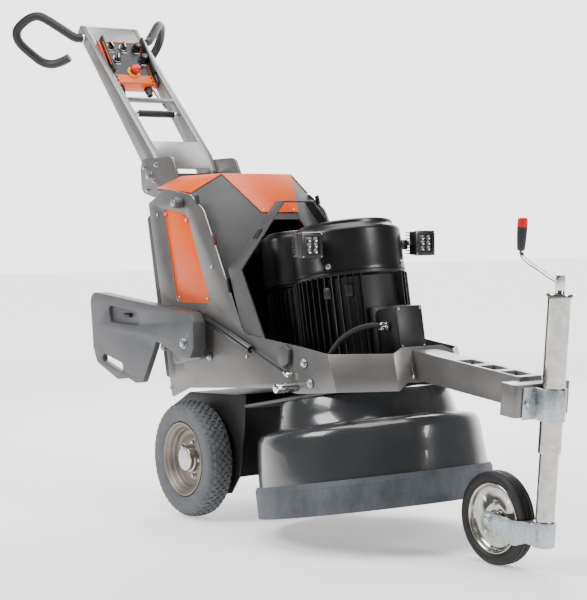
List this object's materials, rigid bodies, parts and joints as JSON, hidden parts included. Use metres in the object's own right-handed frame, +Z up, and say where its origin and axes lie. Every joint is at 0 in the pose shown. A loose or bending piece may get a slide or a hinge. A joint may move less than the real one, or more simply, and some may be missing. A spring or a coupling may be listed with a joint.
{
  "type": "walk-behind concrete floor grinder",
  "caption": "Walk-behind floor grinder with a leaning planetary grinding head, swing-over side weights, tilting handle with control box and a cranked jockey wheel.",
  "frame": {"origin": "on the floor, at the centre of the machine's bounding box", "axes": "+X forwards to the jockey wheel, +Y to the machine's left, +Z up"},
  "size_m": [2.5758, 0.706, 1.7246],
  "materials": {
    "grey_powder_coat": "satin powder coat",
    "silver_powder_coat": "satin silver powder coat",
    "charcoal_coat": "fine texture powder coat",
    "gloss_charcoal_abs": "gloss moulding",
    "orange_coat": "satin powder coat",
    "black_enamel": "semi-gloss enamel",
    "black_rubber": "matt rubber",
    "grey_skirt_rubber": "matt brushed rubber",
    "grey_tyre_rubber": "matt tyre rubber",
    "warm_grey_rim_paint": "matt paint",
    "zinc_plate": "zinc plated",
    "plated_tube": "bright plated",
    "chrome_plate": "polished",
    "cast_iron_grey": "as cast, painted",
    "cabinet_plastic": "moulded",
    "door_plastic": "moulded, fine texture",
    "orange_housing": "satin moulding",
    "red_button": "gloss"
  },
  "bodies": {
    "chassis": {"drive_axle": "cast_iron_grey", "dust_hose": "black_rubber", "electric_cabinet": "cabinet_plastic", "front_arm": "grey_powder_coat", "front_wall": "grey_powder_coat", "handle_mount": "grey_powder_coat", "head_cover": "gloss_charcoal_abs", "hood": "charcoal_coat", "hood_cover": "orange_coat", "jockey_tube": "plated_tube", "lifting_hoop": "charcoal_coat", "main_motor": "black_enamel", "motor_cable": "black_enamel", "motor_cowl": "black_enamel", "motor_deck": "charcoal_coat", "planet_motor": "black_enamel", "side_cover_left": "orange_coat", "side_cover_right": "orange_coat", "side_plate_left": "grey_powder_coat", "side_plate_right": "grey_powder_coat", "terminal_box": "black_enamel", "tube_strap": "zinc_plate", "underbody_guard": "charcoal_coat"},
    "handle": {"handle_frame": "silver_powder_coat", "handlebar_right": "black_rubber", "handlebar_left": "black_rubber", "control_box": "orange_housing"},
    "release_bar": {"release_bar": "black_enamel"},
    "emergency_stop": {"emergency_stop": "red_button"},
    "selector_1": {"selector_1": "chrome_plate"},
    "selector_2": {"selector_2": "chrome_plate"},
    "selector_3": {"selector_3": "chrome_plate"},
    "speed_knob_1": {"speed_knob_1": "black_enamel"},
    "speed_knob_2": {"speed_knob_2": "black_enamel"},
    "rear_wheel_right": {"rear_tyre_right": "grey_tyre_rubber", "rear_rim_right": "warm_grey_rim_paint"},
    "rear_wheel_left": {"rear_tyre_left": "grey_tyre_rubber", "rear_rim_left": "warm_grey_rim_paint"},
    "skirt": {"floating_skirt": "grey_skirt_rubber"},
    "planet_carrier": {"planet_carrier": "cast_iron_grey"},
    "disc_1": {"grinding_disc_1": "plated_tube"},
    "disc_2": {"grinding_disc_2": "plated_tube"},
    "disc_3": {"grinding_disc_3": "plated_tube"},
    "main_rotor": {"main_rotor": "plated_tube"},
    "planet_rotor": {"planet_rotor": "plated_tube"},
    "work_lamp_right": {"work_lamp_right": "black_rubber"},
    "work_lamp_left": {"work_lamp_left": "black_rubber"},
    "rear_door": {"rear_door": "door_plastic"},
    "weight_right": {"side_weight_right": "charcoal_coat"},
    "weight_left": {"side_weight_left": "charcoal_coat"},
    "spring_rod_right": {"spring_rod_right": "chrome_plate"},
    "spring_rod_left": {"spring_rod_left": "chrome_plate"},
    "spring_tube_right": {"spring_tube_right": "black_enamel"},
    "spring_tube_left": {"spring_tube_left": "black_enamel"},
    "jockey_crank": {"jockey_crank": "black_enamel"},
    "jockey_leg": {"jockey_leg": "plated_tube"},
    "jockey_fork": {"jockey_fork": "zinc_plate"},
    "jockey_wheel": {"jockey_tyre": "black_rubber", "jockey_rim": "zinc_plate"}
  },
  "joints": [
    {"name": "handle_tilt", "type": "hinge", "parent": "chassis", "child": "handle", "pos_m": [-0.60296, 0, 1.10172], "axis": [0, 1, 0], "range_deg": [-20, 20]},
    {"name": "release_pull", "type": "slide", "parent": "handle", "child": "release_bar", "axis": [-0.7154, 0, 0.6987], "range_m": [0, 0.02], "stiffness_N_per_m": 2500},
    {"name": "stop_press", "type": "slide", "parent": "handle", "child": "emergency_stop", "axis": [-0.8072, 0, -0.5903], "range_m": [0, 0.005], "stiffness_N_per_m": 900},
    {"name": "selector_turn_1", "type": "hinge", "parent": "handle", "child": "selector_1", "pos_m": [-1.00903, -0.052, 1.58828], "axis": [0.8072, 0, 0.5903], "range_deg": [-45, 45]},
    {"name": "selector_turn_2", "type": "hinge", "parent": "handle", "child": "selector_2", "pos_m": [-1.00903, 0, 1.58828], "axis": [0.8072, 0, 0.5903], "range_deg": [-45, 45]},
    {"name": "selector_turn_3", "type": "hinge", "parent": "handle", "child": "selector_3", "pos_m": [-0.97598, -0.044, 1.54307], "axis": [0.8072, 0, 0.5903], "range_deg": [-45, 45]},
    {"name": "knob_turn_1", "type": "hinge", "parent": "handle", "child": "speed_knob_1", "pos_m": [-1.00785, 0.053, 1.58666], "axis": [0.8072, 0, 0.5903], "range_deg": [-135, 135]},
    {"name": "knob_turn_2", "type": "hinge", "parent": "handle", "child": "speed_knob_2", "pos_m": [-0.97598, 0.063, 1.54307], "axis": [0.8072, 0, 0.5903], "range_deg": [-135, 135]},
    {"name": "rear_wheel_spin_right", "type": "hinge", "parent": "chassis", "child": "rear_wheel_right", "pos_m": [-0.14003, -0.256, 0.187], "axis": [0, 1, 0], "continuous": true},
    {"name": "rear_wheel_spin_left", "type": "hinge", "parent": "chassis", "child": "rear_wheel_left", "pos_m": [-0.14003, 0.256, 0.187], "axis": [0, 1, 0], "continuous": true},
    {"name": "skirt_float", "type": "slide", "parent": "chassis", "child": "skirt", "axis": [-0.1712, 0, 0.9852], "range_m": [0, 0.02]},
    {"name": "planet_spin", "type": "hinge", "parent": "chassis", "child": "planet_carrier", "pos_m": [0.48296, 0, 0.088], "axis": [-0.1712, 0, 0.9852], "continuous": true},
    {"name": "disc_spin_1", "type": "hinge", "parent": "planet_carrier", "child": "disc_1", "pos_m": [0.64553, 0, 0.11624], "axis": [-0.1712, 0, 0.9852], "continuous": true},
    {"name": "disc_spin_2", "type": "hinge", "parent": "planet_carrier", "child": "disc_2", "pos_m": [0.40168, 0.14289, 0.07388], "axis": [-0.1712, 0, 0.9852], "continuous": true},
    {"name": "disc_spin_3", "type": "hinge", "parent": "planet_carrier", "child": "disc_3", "pos_m": [0.40168, -0.14289, 0.07388], "axis": [-0.1712, 0, 0.9852], "continuous": true},
    {"name": "main_rotor_spin", "type": "hinge", "parent": "chassis", "child": "main_rotor", "pos_m": [0.48296, 0, 0.088], "axis": [-0.1712, 0, 0.9852], "continuous": true},
    {"name": "planet_rotor_spin", "type": "hinge", "parent": "chassis", "child": "planet_rotor", "pos_m": [0.19724, 0, 0.03837], "axis": [-0.1712, 0, 0.9852], "continuous": true},
    {"name": "lamp_tilt_right", "type": "hinge", "parent": "chassis", "child": "work_lamp_right", "pos_m": [0.42096, -0.21, 0.862], "axis": [0, 1, 0], "range_deg": [-30, 30]},
    {"name": "lamp_tilt_left", "type": "hinge", "parent": "chassis", "child": "work_lamp_left", "pos_m": [0.42096, 0.21, 0.862], "axis": [0, 1, 0], "range_deg": [-30, 30]},
    {"name": "door_swing", "type": "hinge", "parent": "chassis", "child": "rear_door", "pos_m": [-0.31654, 0.2197, 0.425], "axis": [0.2017, 0, -0.9795], "range_deg": [0, 85]},
    {"name": "weight_swing_right", "type": "hinge", "parent": "chassis", "child": "weight_right", "pos_m": [-0.09004, 0, 0.557], "axis": [0, 1, 0], "range_deg": [0, 174]},
    {"name": "spring_turn_right", "type": "hinge", "parent": "chassis", "child": "spring_rod_right", "pos_m": [0.39497, -0.2485, 0.487], "axis": [0, 1, 0], "range_deg": [-21.2, 0]},
    {"name": "spring_stroke_right", "type": "slide", "parent": "spring_rod_right", "child": "spring_tube_right", "axis": [-0.9489, 0, 0.3156], "range_m": [-0.046, 0]},
    {"name": "weight_swing_left", "type": "hinge", "parent": "chassis", "child": "weight_left", "pos_m": [-0.09004, 0, 0.557], "axis": [0, 1, 0], "range_deg": [0, 174]},
    {"name": "spring_turn_left", "type": "hinge", "parent": "chassis", "child": "spring_rod_left", "pos_m": [0.39497, 0.2485, 0.487], "axis": [0, 1, 0], "range_deg": [-21.2, 0]},
    {"name": "spring_stroke_left", "type": "slide", "parent": "spring_rod_left", "child": "spring_tube_left", "axis": [-0.9489, 0, 0.3156], "range_m": [-0.046, 0]},
    {"name": "crank_turn", "type": "hinge", "parent": "chassis", "child": "jockey_crank", "pos_m": [1.18497, 0, 0.076], "axis": [0.1028, 0, 0.9947], "range_deg": [0, 10800]},
    {"name": "jockey_lift", "type": "slide", "parent": "chassis", "child": "jockey_leg", "axis": [0.1028, 0, 0.9947], "range_m": [0, 0.18]},
    {"name": "fork_swivel", "type": "hinge", "parent": "jockey_leg", "child": "jockey_fork", "pos_m": [1.18497, 0, 0.076], "axis": [0.1028, 0, 0.9947], "continuous": true},
    {"name": "jockey_wheel_spin", "type": "hinge", "parent": "jockey_fork", "child": "jockey_wheel", "pos_m": [1.01096, 0, 0.127], "axis": [0, 1, 0], "continuous": true}
  ],
  "couplings": [
    {"joint": "jockey_lift", "follows": "crank_turn", "m_per_rad": 0.000954},
    {"joint": "disc_spin_2", "follows": "disc_spin_1", "ratio": 1},
    {"joint": "disc_spin_3", "follows": "disc_spin_1", "ratio": 1},
    {"joint": "main_rotor_spin", "follows": "disc_spin_1", "ratio": -0.82778},
    {"joint": "planet_rotor_spin", "follows": "planet_spin", "ratio": -9.5273},
    {"joint": "spring_turn_right", "follows": "weight_swing_right", "ratio": -0.1211},
    {"joint": "spring_stroke_right", "follows": "weight_swing_right", "m_per_rad": -0.015},
    {"joint": "spring_turn_left", "follows": "weight_swing_left", "ratio": -0.1211},
    {"joint": "spring_stroke_left", "follows": "weight_swing_left", "m_per_rad": -0.015}
  ]
}
